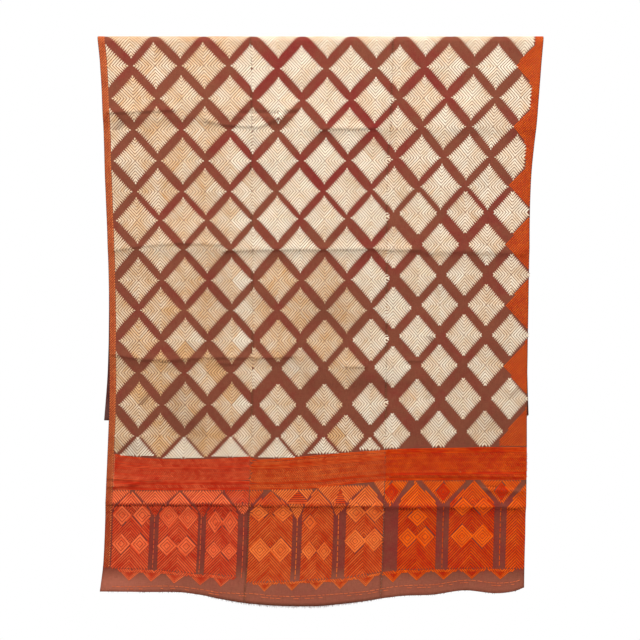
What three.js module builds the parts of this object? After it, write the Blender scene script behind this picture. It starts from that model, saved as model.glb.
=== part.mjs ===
// A phulkari, the darned wrap of Punjab: coarse red cotton in three loom widths, sewn edge to edge and
// thickly darned in silk. It hangs over a rail, its long part in front and its short part behind.
// Millimetres, +Z up, +X to the right of someone facing the front, which looks to -Y.
// The origin is under the crest of the fold, where the rail bears.

import * as THREE from 'three';

// The cloth
const THICKNESS = 2;
const SEAM_GAP = 0.4;
const PANELS = [
  { name: 'panel_left', width: 414, color: 0xb4623f },
  { name: 'panel_middle', width: 388, color: 0xbb7450 },
  { name: 'panel_right', width: 408, color: 0xb05030 },
];
const WIDTH = PANELS.reduce((sum, panel) => sum + panel.width, 0);

// The rail that it is made to hang on, which isn't part of it
const RAIL_RADIUS = 16;
const BEND_RADIUS = RAIL_RADIUS + THICKNESS / 2;
const QUARTER_BEND = BEND_RADIUS * Math.PI / 2;
const BEND_SPARE = QUARTER_BEND - RAIL_RADIUS;   // cloth taken up by the bend, beyond its depth

// Side edges of each part: how far below the crest, and the places of its left and right selvedge
const FRONT_EDGES = [
  { down: 0, left: -602, right: 605 },
  { down: 80, left: -594, right: 598 },
  { down: 230, left: -586, right: 586 },
  { down: 390, left: -581, right: 570 },
  { down: 640, left: -572, right: 564 },
  { down: 980, left: -570, right: 559 },
  { down: 1170, left: -577, right: 558 },
  { down: 1420, left: -586, right: 552 },
  { down: 1510, left: -597, right: 551 },
];
const BACK_EDGES = [
  { down: 0, left: -602, right: 605 },
  { down: 230, left: -588, right: 584 },
  { down: 390, left: -580, right: 567 },
  { down: 640, left: -574, right: 563 },
  { down: 900, left: -577, right: 564 },
  { down: 1050, left: -588, right: 568 },
];

// Hems: the drop below the crest, at places measured across the flat cloth from its left selvedge
const FRONT_HEM = [
  { across: 0, drop: 1502 },
  { across: 120, drop: 1501 },
  { across: 240, drop: 1503 },
  { across: 340, drop: 1520 },
  { across: 430, drop: 1533 },
  { across: 610, drop: 1540 },
  { across: 730, drop: 1531 },
  { across: 860, drop: 1512 },
  { across: 950, drop: 1508 },
  { across: 1040, drop: 1498 },
  { across: 1125, drop: 1506 },
  { across: 1180, drop: 1500 },
  { across: WIDTH, drop: 1489 },
];
const BACK_HEM = [
  { across: 0, drop: 1040 },
  { across: 400, drop: 1047 },
  { across: 800, drop: 1042 },
  { across: WIDTH, drop: 1026 },
];

// Long soft folds that hang down the cloth. Each starts `from` below the crest and grows until `full`.
// It stands `rise` proud of the cloth, or sunk where that is negative, and is `spread` wide each way.
const HANGING_FOLDS = [
  { across: 0, from: 150, full: 600, rise: -7, spread: 60 },
  { across: 175, from: 200, full: 900, rise: 9, spread: 75 },
  { across: 305, from: 230, full: 700, rise: -8, spread: 24 },
  { across: 414, from: 60, full: 400, rise: -3, spread: 22 },
  { across: 520, from: 300, full: 1200, rise: 10, spread: 100 },
  { across: 700, from: 400, full: 1200, rise: -7, spread: 70 },
  { across: 802, from: 60, full: 400, rise: -3, spread: 22 },
  { across: 930, from: 300, full: 1100, rise: 9, spread: 85 },
  { across: 1085, from: 400, full: 1200, rise: -7, spread: 60 },
  { across: WIDTH, from: 200, full: 700, rise: 6, spread: 55 },
];
const BACK_FOLDS = [
  { across: 150, from: 150, full: 700, rise: 8, spread: 90 },
  { across: 414, from: 60, full: 400, rise: -3, spread: 22 },
  { across: 600, from: 200, full: 900, rise: 9, spread: 120 },
  { across: 802, from: 60, full: 400, rise: -3, spread: 22 },
  { across: 1040, from: 250, full: 900, rise: 8, spread: 110 },
];

// Creases across the front, kept from the cloth's storing. Each lies `down` below the crest between two
// places across, and stands `rise` proud with a long slope above it and a short one below.
const STORED_CREASES = [
  { down: 216, start: 0, end: 560, rise: 5, above: 60, below: 18 },
  { down: 245, start: 520, end: WIDTH, rise: 4, above: 60, below: 20 },
  { down: 570, start: 0, end: WIDTH, rise: 5, above: 70, below: 20 },
  { down: 870, start: 0, end: 560, rise: 4, above: 60, below: 18 },
  { down: 925, start: 540, end: 960, rise: 4, above: 60, below: 20 },
  { down: 1270, start: 0, end: WIDTH, rise: 7, above: 45, below: 14 },
];

// How finely the cloth is divided
const COLUMN_STEP = 54;
const FRONT_STEP = 52;
const BACK_STEP = 90;
const BEND_STEPS = 4;             // in each quarter of the bend
const BORDER_FROM = 1150;         // the hems' unevenness is let out below this, in front
const BACK_BORDER_FROM = 850;

// ---------------------------------------------------------------------------------------------------
// The hanging shape

// Reads a column of a table at a place along it, on a smooth curve through its rows.
function readTable(table, placeKey, valueKey, place) {
  const last = table.length - 1;
  let row = 0;
  while (row < last - 1 && place > table[row + 1][placeKey]) row += 1;
  const slopeAt = (k) => {
    const before = table[Math.max(k - 1, 0)];
    const after = table[Math.min(k + 1, last)];
    return (after[valueKey] - before[valueKey]) / (after[placeKey] - before[placeKey]);
  };
  const low = table[row];
  const high = table[row + 1];
  const length = high[placeKey] - low[placeKey];
  const t = THREE.MathUtils.clamp((place - low[placeKey]) / length, 0, 1);
  const startSlope = slopeAt(row) * length;
  const endSlope = slopeAt(row + 1) * length;
  return (2 * t ** 3 - 3 * t ** 2 + 1) * low[valueKey] + (t ** 3 - 2 * t ** 2 + t) * startSlope
    + (3 * t ** 2 - 2 * t ** 3) * high[valueKey] + (t ** 3 - t ** 2) * endSlope;
}

const bump = (offset, spread) => Math.exp(-((offset / spread) ** 2));

// How far the hanging folds lift the cloth out of plumb.
function foldRise(folds, across, down) {
  return folds.reduce((rise, fold) => {
    const grown = THREE.MathUtils.smoothstep(down, fold.from, fold.full);
    return rise + fold.rise * grown * bump(across - fold.across, fold.spread);
  }, 0);
}

// How far the stored creases lift it. They run out over 60 mm at their ends.
function creaseRise(across, down) {
  return STORED_CREASES.reduce((rise, crease) => {
    const starts = crease.start === 0 ? 1 : THREE.MathUtils.smoothstep(across, crease.start, crease.start + 60);
    const ends = crease.end === WIDTH ? 1 : 1 - THREE.MathUtils.smoothstep(across, crease.end - 60, crease.end);
    const spread = down < crease.down ? crease.above : crease.below;
    return rise + crease.rise * starts * ends * bump(down - crease.down, spread);
  }, 0);
}

// A point on the middle of the cloth. `across` is measured from the left selvedge and `run` from the
// crest, both along the cloth; run is positive in front and negative behind.
function clothPoint(across, run) {
  const inFront = run >= 0;
  const length = Math.abs(run);
  const turn = Math.min(length, QUARTER_BEND) / BEND_RADIUS;
  const down = Math.max(length - BEND_SPARE, 0);
  const edges = inFront ? FRONT_EDGES : BACK_EDGES;
  const left = readTable(edges, 'down', 'left', down);
  const right = readTable(edges, 'down', 'right', down);
  const rise = inFront
    ? foldRise(HANGING_FOLDS, across, down) + creaseRise(across, down)
    : foldRise(BACK_FOLDS, across, down);
  const out = BEND_RADIUS * Math.sin(turn) + rise;
  const height = BEND_RADIUS * Math.cos(turn) - RAIL_RADIUS - Math.max(length - QUARTER_BEND, 0);
  return new THREE.Vector3(left + (right - left) * across / WIDTH, inFront ? -out : out, height);
}

// The cloth's outward direction there, from two short steps along it.
function clothNormal(across, run) {
  const STEP = 0.5;
  const sideways = clothPoint(across + STEP, run).sub(clothPoint(across - STEP, run));
  const forwards = clothPoint(across, run + STEP).sub(clothPoint(across, run - STEP));
  return forwards.cross(sideways).normalize();
}

// ---------------------------------------------------------------------------------------------------
// Where the cloth is divided

function steps(start, end, longest) {
  const count = Math.ceil((end - start) / longest);
  return Array.from({ length: count }, (_, k) => start + (end - start) * k / count);
}

// Rows down the whole cloth as runs for an even hem, with extra rows where it bends or is creased.
function clothRows() {
  const FRONT_END = 1500 + BEND_SPARE;
  const BACK_END = 1040 + BEND_SPARE;
  const behind = steps(QUARTER_BEND + 20, BACK_END, BACK_STEP).map((run) => -run);
  const bend = steps(-QUARTER_BEND, QUARTER_BEND, QUARTER_BEND / BEND_STEPS);
  const creased = STORED_CREASES.flatMap((crease) => {
    const run = crease.down + BEND_SPARE;
    return [run - crease.above / 2, run, run + crease.below];
  });
  const even = steps(QUARTER_BEND + 20, FRONT_END, FRONT_STEP);
  const clear = even.filter((run) => creased.every((taken) => Math.abs(taken - run) > FRONT_STEP * 0.4));
  return [-BACK_END, ...behind, ...bend, QUARTER_BEND, ...creased, ...clear, FRONT_END].sort((a, b) => a - b);
}

// The run at which a row really lies, once the hem's own drop there is let out over the border.
function rowRun(across, run) {
  const ends = run >= 0
    ? { from: BORDER_FROM, even: 1500, table: FRONT_HEM }
    : { from: BACK_BORDER_FROM, even: 1040, table: BACK_HEM };
  const down = Math.abs(run) - BEND_SPARE;
  if (down <= ends.from) return run;
  const drop = readTable(ends.table, 'across', 'drop', across);
  const stretched = ends.from + (down - ends.from) * (drop - ends.from) / (ends.even - ends.from);
  return Math.sign(run) * (stretched + BEND_SPARE);
}

// Columns across one panel, with one on each narrow fold and one at its foot on either side.
function panelColumns(start, end) {
  const NARROW = 30;
  const folded = HANGING_FOLDS.filter((fold) => fold.spread < NARROW)
    .flatMap((fold) => [fold.across - fold.spread, fold.across, fold.across + fold.spread])
    .filter((across) => across > start + 1 && across < end - 1);
  const even = steps(start, end, COLUMN_STEP);
  const clear = even.filter((across) => folded.every((taken) => Math.abs(taken - across) > COLUMN_STEP * 0.35));
  return [...new Set([start, ...clear, ...folded, end])].sort((a, b) => a - b);
}

// ---------------------------------------------------------------------------------------------------
// One panel: the cloth's outer and inner face on the same columns and rows, closed along all four edges

function panelGeometry(start, end) {
  const columns = panelColumns(start, end);
  const rows = clothRows();
  const positions = [];
  for (const side of [THICKNESS / 2, -THICKNESS / 2]) {
    for (const row of rows) {
      for (const across of columns) {
        const run = rowRun(across, row);
        positions.push(...clothPoint(across, run).addScaledVector(clothNormal(across, run), side));
      }
    }
  }
  const faceSize = rows.length * columns.length;
  const vertex = (inner, row, column) => inner * faceSize + row * columns.length + column;
  const index = [];
  const quad = (a, b, c, d) => index.push(a, b, c, a, c, d);
  for (let row = 0; row < rows.length - 1; row += 1) {
    for (let column = 0; column < columns.length - 1; column += 1) {
      quad(vertex(0, row, column), vertex(0, row + 1, column),
        vertex(0, row + 1, column + 1), vertex(0, row, column + 1));
      quad(vertex(1, row, column), vertex(1, row, column + 1),
        vertex(1, row + 1, column + 1), vertex(1, row + 1, column));
    }
    const last = columns.length - 1;
    quad(vertex(0, row, 0), vertex(1, row, 0), vertex(1, row + 1, 0), vertex(0, row + 1, 0));
    quad(vertex(0, row, last), vertex(0, row + 1, last), vertex(1, row + 1, last), vertex(1, row, last));
  }
  for (let column = 0; column < columns.length - 1; column += 1) {
    const last = rows.length - 1;
    quad(vertex(0, 0, column), vertex(0, 0, column + 1), vertex(1, 0, column + 1), vertex(1, 0, column));
    quad(vertex(0, last, column), vertex(1, last, column),
      vertex(1, last, column + 1), vertex(0, last, column + 1));
  }
  const geometry = new THREE.BufferGeometry();
  geometry.setAttribute('position', new THREE.Float32BufferAttribute(positions, 3));
  geometry.setIndex(index);
  geometry.computeVertexNormals();
  return geometry;
}

const phulkari = new THREE.Group();
let across = 0;
for (const panel of PANELS) {
  const start = across === 0 ? 0 : across + SEAM_GAP / 2;
  across += panel.width;
  const end = across === WIDTH ? WIDTH : across - SEAM_GAP / 2;
  const cloth = new THREE.MeshStandardMaterial({ color: panel.color, roughness: 0.85, metalness: 0 });
  const mesh = new THREE.Mesh(panelGeometry(start, end), cloth);
  mesh.name = panel.name;
  phulkari.add(mesh);
}

export default phulkari;
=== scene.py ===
import math

import bpy
import numpy as np
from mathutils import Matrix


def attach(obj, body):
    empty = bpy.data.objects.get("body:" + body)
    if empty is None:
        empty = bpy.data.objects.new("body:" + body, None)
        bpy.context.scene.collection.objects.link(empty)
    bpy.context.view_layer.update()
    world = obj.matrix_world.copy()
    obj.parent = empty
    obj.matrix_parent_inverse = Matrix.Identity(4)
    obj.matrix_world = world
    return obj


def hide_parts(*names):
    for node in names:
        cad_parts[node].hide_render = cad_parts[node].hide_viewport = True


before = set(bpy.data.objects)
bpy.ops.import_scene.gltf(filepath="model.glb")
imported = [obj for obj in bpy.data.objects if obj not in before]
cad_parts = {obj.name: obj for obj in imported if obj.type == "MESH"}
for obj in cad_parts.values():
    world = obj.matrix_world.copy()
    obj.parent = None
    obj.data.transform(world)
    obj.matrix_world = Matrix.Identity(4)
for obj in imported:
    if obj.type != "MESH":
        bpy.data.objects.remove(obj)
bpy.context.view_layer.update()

# ---------------------------------------------------------------------------------------------------
# The camera. It looks square on at the front of the cloth from half its height, a little over five
# metres away, as a hanging cloth is looked at across a room.
bpy.ops.object.select_all(action="DESELECT")
bpy.ops.object.camera_add(location=(0, -5.218, -0.767), rotation=(math.pi / 2, 0, 0))
camera = bpy.context.object
camera.name = "camera"
camera.data.sensor_width = 36
camera.data.lens = 108.3
bpy.context.scene.camera = camera


# ---------------------------------------------------------------------------------------------------
# The three loom widths of khaddar, a coarse handspun cotton dyed brick red. Each is one length that
# runs from the hem behind, over the rail, down to the hem in front, and they are sewn at their edges.
# They hang in long soft folds, with cross creases left from the chest that the cloth was kept in.
PANELS = {
    "name": ["left", "middle", "right"],
    "start": [0.0, 414.03, 802.03],
    "end": [413.97, 801.97, 1210.0],
}
# Sizes on the cloth are in millimetres. The hem's own droop is let out below the two let-out levels.
WIDTH = 1210.0
SEAMS = (414.0, 802.0)
FRONT_LENGTH = 1500
BACK_LENGTH = 1040
FRONT_LET_OUT = 1150
BACK_LET_OUT = 850
NARROW_FOLD = 305
RAIL_RADIUS = 16.0
BEND_RADIUS = 17.0
QUARTER_BEND = BEND_RADIUS * math.pi / 2
BEND_SPARE = QUARTER_BEND - RAIL_RADIUS
FRONT_EDGES = {
    "down": [0, 80, 230, 390, 640, 980, 1170, 1420, 1510],
    "left": [-602, -594, -586, -581, -572, -570, -577, -586, -597],
    "right": [605, 598, 586, 570, 564, 559, 558, 552, 551],
}
BACK_EDGES = {
    "down": [0, 230, 390, 640, 900, 1050],
    "left": [-602, -588, -580, -574, -577, -588],
    "right": [605, 584, 567, 563, 564, 568],
}
FRONT_HEM = {
    "across": [0, 120, 240, 340, 430, 610, 730, 860, 950, 1040, 1125, 1180, 1210],
    "drop": [1502, 1501, 1503, 1520, 1533, 1540, 1531, 1512, 1508, 1498, 1506, 1500, 1489],
}
BACK_HEM = {"across": [0, 400, 800, 1210], "drop": [1040, 1047, 1042, 1026]}
HANGING_FOLDS = {
    "across": [0, 175, 305, 414, 520, 700, 802, 930, 1085, 1210],
    "from": [150, 200, 230, 60, 300, 400, 60, 300, 400, 200],
    "full": [600, 900, 700, 400, 1200, 1200, 400, 1100, 1200, 700],
    "rise": [-7, 9, -8, -3, 10, -7, -3, 9, -7, 6],
    "spread": [60, 75, 24, 22, 100, 70, 22, 85, 60, 55],
}
BACK_FOLDS = {
    "across": [150, 414, 600, 802, 1040],
    "from": [150, 60, 200, 60, 250],
    "full": [700, 400, 900, 400, 900],
    "rise": [8, -3, 9, -3, 8],
    "spread": [90, 22, 120, 22, 110],
}
STORED_CREASES = {
    "down": [216, 245, 570, 870, 925, 1270],
    "start": [0, 520, 0, 0, 540, 0],
    "end": [560, 1210, 1210, 560, 960, 1210],
    "rise": [5, 4, 5, 4, 4, 7],
    "above": [60, 60, 70, 60, 60, 45],
    "below": [18, 20, 20, 18, 20, 14],
}
# Sharp lines where the cloth was pressed. Each follows its points, stands up or is sunk by its rise, and
# dies away over so many millimetres above and below.
CREASE_LINES = {
    "across": [[10, 60, 205], [285, 330, 432, 480, 512], [380, 545], [480, 506, 548], [600, 640, 770],
        [15, 110, 205, 330], [330, 470, 630, 745, 900], [900, 1010, 1200], [5, 58, 98, 130, 200],
        [200, 294, 390, 465, 540], [310, 368], [680, 740], [855, 902], [5, 50, 95], [5, 60, 110, 165],
        [1085, 1150, 1203], [0, 150, 300], [300, 410, 560, 700], [700, 850, 1000, 1210],
        [820, 950, 1205]],
    "down": [[207, 206, 199], [227, 239, 245, 227, 198], [209, 207], [251, 206, 193], [255, 250, 249],
        [578, 566, 559, 563], [580, 576, 576, 574, 579], [586, 582, 588], [859, 868, 873, 874, 876],
        [872, 868, 869, 869, 866], [885, 884], [893, 893], [877, 876], [1219, 1215, 1209],
        [1196, 1197, 1199, 1198], [1222, 1226, 1229], [1263, 1262, 1264], [1264, 1266, 1267, 1269],
        [1269, 1271, 1271, 1272], [1188, 1186, 1190]],
    "rise": [4.1, 4.1, -3.0, 3.0, 4.2, 3.6, 4.5, 3.0, 4.8, 4.2, 3.0, 4.8, 3.6, 5.5, 4.0, 6.5, 6.2, 6.2,
        6.2, 3.6],
    "above": [12, 10, 6, 8, 12, 12, 15, 12, 14, 12, 8, 12, 9, 10, 10, 4.5, 13, 13, 13, 9],
    "below": [4.2, 4.2, 6.5, 6.5, 4.2, 4.2, 4.2, 6.5, 3.6, 3.6, 4.2, 3.4, 4.2, 3.0, 3.0, 10, 2.7, 2.7,
        2.7, 4.2],
}
CREASE_FADE = 9.0
CLOTH_DEPTH = 1.0


def rows_of(table, *names):
    """The rows of a table, from all its columns or from the named ones."""
    return zip(*(table[name] for name in names or table))


def read_table(table, place_name, value_name, place):
    """Reads one column of a table at places along another, on a smooth curve through its rows."""
    places = np.array(table[place_name], float)
    values = np.array(table[value_name], float)
    last = len(places) - 1
    row = np.clip(np.searchsorted(places, place, side="left") - 1, 0, last - 1)
    before = np.clip(np.arange(last + 1) - 1, 0, last)
    after = np.clip(np.arange(last + 1) + 1, 0, last)
    slope = (values[after] - values[before]) / (places[after] - places[before])
    length = places[row + 1] - places[row]
    t = np.clip((place - places[row]) / length, 0, 1)
    low = (2 * t ** 3 - 3 * t ** 2 + 1) * values[row] + (t ** 3 - 2 * t ** 2 + t) * slope[row] * length
    high = (3 * t ** 2 - 2 * t ** 3) * values[row + 1] + (t ** 3 - t ** 2) * slope[row + 1] * length
    return low + high


def bump(offset, spread):
    """A soft rise that is 1 in its middle."""
    return np.exp(-((offset / spread) ** 2))


def eased(value, low, high):
    """A soft step from 0 to 1."""
    t = np.clip((value - low) / (high - low), 0, 1)
    return t * t * (3 - 2 * t)


def fold_rise(folds, across, down):
    """How far the long folds lift the cloth out of plumb."""
    rise = 0
    for middle, begin, full, height, spread in rows_of(folds):
        rise = rise + height * eased(down, begin, full) * bump(across - middle, spread)
    return rise


def crease_rise(across, down):
    """How far the stored creases lift it. They run out over 60 mm at their ends."""
    rise = 0
    for line, start, end, height, above, below in rows_of(STORED_CREASES):
        starts = 1 if start == 0 else eased(across, start, start + 60)
        ends = 1 if end == WIDTH else 1 - eased(across, end - 60, end)
        spread = np.where(down < line, above, below)
        rise = rise + height * starts * ends * bump(down - line, spread)
    return rise


def pressed_rise(across, down):
    """The sharp pressed lines, which fade out at each end."""
    rise = 0
    for places, levels, height, above, below in rows_of(CREASE_LINES):
        line = np.interp(across, places, levels)
        begun = eased(across, places[0] - CREASE_FADE, places[0] + CREASE_FADE)
        over = eased(across, places[-1] - CREASE_FADE, places[-1] + CREASE_FADE)
        spread = np.where(down < line, above, below)
        rise = rise + height * begun * (1 - over) * bump(down - line, spread)
    return rise


RUMPLES = {
    "long": [310, 205, 158, 121, 97, 83, 71, 60],
    "turned": [12, 78, 41, 102, 150, 63, 20, 128],
    "begins": [0.3, 1.9, 4.1, 2.2, 5.3, 0.9, 3.3, 1.2],
    "rise": [1.0, 0.8, 0.7, 0.6, 0.45, 0.42, 0.3, 0.24],
}


def rumple_rise(across, run):
    """The small unevenness of a hand woven cloth that has been folded and worn."""
    rise = 0
    for long, turned, begins, height in rows_of(RUMPLES):
        angle = math.radians(turned)
        along = across * math.cos(angle) + run * math.sin(angle)
        sway = 0.8 * np.sin(2 * math.pi * (across - run) / (long * 3.7) + begins * 2)
        rise = rise + height * np.sin(2 * math.pi * along / long + begins + sway)
    return rise * eased(np.abs(run), 20, 120)


def cloth_point(across, run):
    """Points on the middle of the cloth, in millimetres: `across` from the left selvedge, `run` from the
    crest."""
    in_front = run >= 0
    length = np.abs(run)
    turn = np.minimum(length, QUARTER_BEND) / BEND_RADIUS
    down = np.maximum(length - BEND_SPARE, 0)
    edges = []
    for side in ("left", "right"):
        front = read_table(FRONT_EDGES, "down", side, down)
        back = read_table(BACK_EDGES, "down", side, down)
        edges.append(np.where(in_front, front, back))
    front = fold_rise(HANGING_FOLDS, across, down) + crease_rise(across, down) + pressed_rise(across, down)
    back = fold_rise(BACK_FOLDS, across, down)
    rise = np.where(in_front, front, back) + rumple_rise(across, run)
    out = BEND_RADIUS * np.sin(turn) + rise
    height = BEND_RADIUS * np.cos(turn) - RAIL_RADIUS - np.maximum(length - QUARTER_BEND, 0)
    x = edges[0] + (edges[1] - edges[0]) * across / WIDTH
    return np.stack([x, np.where(in_front, -out, out), height], -1)


def place(across, run, height):
    """Points that stand `height` out from the middle of the cloth, in metres."""
    across = np.asarray(across, float)
    run = np.asarray(run, float)
    sideways = cloth_point(across + 0.5, run) - cloth_point(across - 0.5, run)
    forwards = cloth_point(across, run + 0.5) - cloth_point(across, run - 0.5)
    outward = np.cross(forwards, sideways)
    outward = outward / np.linalg.norm(outward, axis=-1, keepdims=True)
    return (cloth_point(across, run) + outward * np.asarray(height, float)[..., None]) / 1000


def hem_level(across):
    """How far along the cloth its front hem lies."""
    return read_table(FRONT_HEM, "across", "drop", across) + BEND_SPARE


def hem_run(across, run):
    """Where a row of the weave really lies, once the hem's own drop is let out over the border."""
    down = np.abs(run) - BEND_SPARE
    ends = (
        (FRONT_HEM, FRONT_LET_OUT, FRONT_LENGTH),
        (BACK_HEM, BACK_LET_OUT, BACK_LENGTH),
    )
    let_out = []
    for hem, begin, end in ends:
        drop = read_table(hem, "across", "drop", across)
        let_out.append(np.where(down > begin, begin + (down - begin) * (drop - begin) / (end - begin), down))
    return np.sign(run) * (np.where(run >= 0, *let_out) + BEND_SPARE)


def even_steps(start, end, longest):
    """Places from start to end in even steps, none over `longest`."""
    return np.linspace(start, end, int(math.ceil((end - start) / longest)) + 1)


def thinned(places, least):
    """Sorted places, leaving out each one that is closer than `least` to the one before it."""
    kept = [places[0]]
    for value in places[1:]:
        if value - kept[-1] >= least:
            kept.append(value)
    kept[-1] = places[-1]
    return np.array(kept)


def cloth_rows():
    """Rows down the whole cloth, close together at the bend and at the creases."""
    rows = [even_steps(-BACK_LENGTH - BEND_SPARE, FRONT_LENGTH + BEND_SPARE, 9.0), even_steps(-33, 33, 2.6)]
    for levels in CREASE_LINES["down"]:
        rows.append(even_steps(min(levels) + BEND_SPARE - 14, max(levels) + BEND_SPARE + 9, 2.6))
    for line, below in rows_of(STORED_CREASES, "down", "below"):
        rows.append(even_steps(line + BEND_SPARE - 20, line + BEND_SPARE + below + 8, 5.0))
    return thinned(np.unique(np.concatenate(rows)), 2.0)


def mesh_piece(name, points, faces, materials):
    """A new piece of mesh at the origin, riding on the cloth's one body."""
    mesh = bpy.data.meshes.new(name)
    mesh.from_pydata(points.tolist(), [], faces.tolist())
    mesh.validate()
    mesh.shade_smooth()
    piece = bpy.data.objects.new(name, mesh)
    bpy.context.collection.objects.link(piece)
    for material in materials:
        mesh.materials.append(material)
    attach(piece, "root")
    return piece


def note_tones(mesh, tones):
    """Keeps each point's tones: red for age, green for soil, blue for chance, alpha for painted side shade.
    """
    attribute = mesh.color_attributes.new("tones", "FLOAT_COLOR", "POINT")
    rgba = np.ones((len(mesh.vertices), 4), np.float32)
    rgba[:, :tones.shape[1]] = np.clip(tones, 0, 1)
    attribute.data.foreach_set("color", rgba.ravel())


def note_flat_map(mesh, flat):
    """A UV map of the cloth laid flat, in metres."""
    layer = mesh.uv_layers.new(name="flat")
    corners = np.zeros(len(mesh.loops), np.int32)
    mesh.loops.foreach_get("vertex_index", corners)
    layer.data.foreach_set("uv", (flat[corners] / 1000).astype(np.float32).ravel())


# Marks of age on the cloth: where each lies, how far it reaches across and down, and how strong it is.
STAINS = {
    "across": [45, 165, 105, 490, 930, 925, 1165, 235, 60, 250, 300, 640, 1100, 560, 205, 420, 730, 960],
    "run": [245, 918, 992, 860, 828, 977, 975, 845, 1120, 1075, 700, 760, 1060, 905, 1000, 300, 940, 700],
    "wide": [9, 10, 7, 8, 9, 8, 14, 7, 35, 40, 60, 90, 50, 60, 45, 14, 40, 30],
    "tall": [16, 8, 7, 7, 9, 9, 8, 7, 22, 30, 80, 60, 40, 40, 60, 10, 26, 24],
    "amount": [0.7, 0.7, 0.6, 0.7, 0.5, 0.5, 0.6, 0.5, 0.35, 0.3, 0.12, 0.15, 0.15, 0.2, 0.3, 0.3, 0.25,
               0.15],
}


def soil(across, run):
    """How soiled the cloth is at a place, from 0 to 1."""
    total = 0.0
    for middle, level, wide, tall, amount in rows_of(STAINS):
        total = total + amount * bump(across - middle, wide) * bump(run - level, tall)
    return np.clip(total, 0, 1)


def crimson(across, run):
    """Where the ground has kept its first deep red, from 0 to 1."""
    swayed = np.sin(across / 71 + 1.3 * np.sin(run / 93))
    patches = swayed * np.sin(run / 58 + 1.1 * np.sin(across / 111 + 2))
    upper = 1 - eased(run, 380, 900)
    middle = bump(across - 640, 330)
    return np.clip(0.08 + 0.42 * patches * (0.4 + 0.6 * upper) + 0.36 * upper * middle, 0, 1)


def new_group(name, inputs, outputs):
    """A node group with named sockets, each with its kind."""
    group = bpy.data.node_groups.new(name, "ShaderNodeTree")
    for way, sockets in (("INPUT", inputs), ("OUTPUT", outputs)):
        for label, kind in sockets.items():
            group.interface.new_socket(name=label, in_out=way, socket_type="NodeSocket" + kind)
    return group, group.nodes.new("NodeGroupInput"), group.nodes.new("NodeGroupOutput")


def node(tree, kind, settings=None, **inputs):
    """Adds a node, sets it, and joins or fills the named inputs."""
    made = tree.nodes.new(kind)
    for key, value in (settings or {}).items():
        setattr(made, key, value)
    for key, value in inputs.items():
        socket = made.inputs[int(key[1:])] if key[0] == "_" else made.inputs[key.replace("_", " ")]
        if isinstance(value, bpy.types.NodeSocket):
            tree.links.new(value, socket)
        else:
            socket.default_value = value
    return made


def linear(red, green, blue):
    """A colour for a socket, from the steps of red, green and blue that it shows on a screen."""
    steps = [value / 255 for value in (red, green, blue)]
    return tuple(s / 12.92 if s <= 0.04045 else ((s + 0.055) / 1.055) ** 2.4 for s in steps) + (1.0,)


def mixed(tree, amount, first, second, blend="MIX"):
    """A colour mixed from two others."""
    settings = {"data_type": "RGBA", "blend_type": blend}
    return node(tree, "ShaderNodeMix", settings, _0=amount, _6=first, _7=second).outputs[2]


def shaded(tree, colour, share):
    """A colour made lighter or darker by a number."""
    return mixed(tree, 1.0, colour, share, "MULTIPLY")


def summed(tree, operation, first, second=0.0, third=0.0):
    """A number worked out from up to three others, by the named sum."""
    return node(tree, "ShaderNodeMath", {"operation": operation}, _0=first, _1=second, _2=third).outputs[0]


def ranged(tree, value, low, high, at_low, at_high):
    """A number carried over from one range to another."""
    ends = {"_1": low, "_2": high, "_3": at_low, "_4": at_high}
    return node(tree, "ShaderNodeMapRange", None, Value=value, **ends).outputs[0]


def noise(tree, where, scale, detail, rough=0.5):
    """Cloudy unevenness."""
    inputs = {"Vector": where, "Scale": scale, "Detail": detail, "Roughness": rough}
    return node(tree, "ShaderNodeTexNoise", None, **inputs).outputs[0]


def new_material(name):
    """A new material, its nodes, its shader and the cloth's flat map."""
    material = bpy.data.materials.new(name)
    material.use_nodes = True
    tree = material.node_tree
    flat = node(tree, "ShaderNodeUVMap", {"uv_map": "flat"}).outputs[0]
    return material, tree, tree.nodes["Principled BSDF"], flat


def read_tones(tree):
    """The tones kept in the mesh: age, soil, chance, and the edge share that sets the painted shade on a
    stripe's sides.
    """
    tones = node(tree, "ShaderNodeVertexColor", {"layer_name": "tones"})
    split = node(tree, "ShaderNodeSeparateColor", None, Color=tones.outputs[0])
    return (*split.outputs[0:3], tones.outputs["Alpha"])


def patched(tree, amount, cloudy, low, high, at_low, at_high):
    """An amount of age made patchy by cloudy unevenness, and kept from 0 to 1."""
    patchy = ranged(tree, cloudy, low, high, at_low, at_high)
    settings = {"operation": "ADD", "use_clamp": True}
    return node(tree, "ShaderNodeMath", settings, _0=amount, _1=patchy).outputs[0]


def finish(tree, shader, colour, rough, height, strength, distance, gloss):
    """Joins a colour, a roughness and a relief to the shader, and sets its gloss."""
    relief = node(tree, "ShaderNodeBump", None, Strength=strength, Distance=distance, Height=height)
    tree.links.new(colour, shader.inputs["Base Color"])
    tree.links.new(relief.outputs[0], shader.inputs["Normal"])
    shader.inputs["Specular IOR Level"].default_value = gloss
    if isinstance(rough, float):
        shader.inputs["Roughness"].default_value = rough
    else:
        tree.links.new(rough, shader.inputs["Roughness"])


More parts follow.
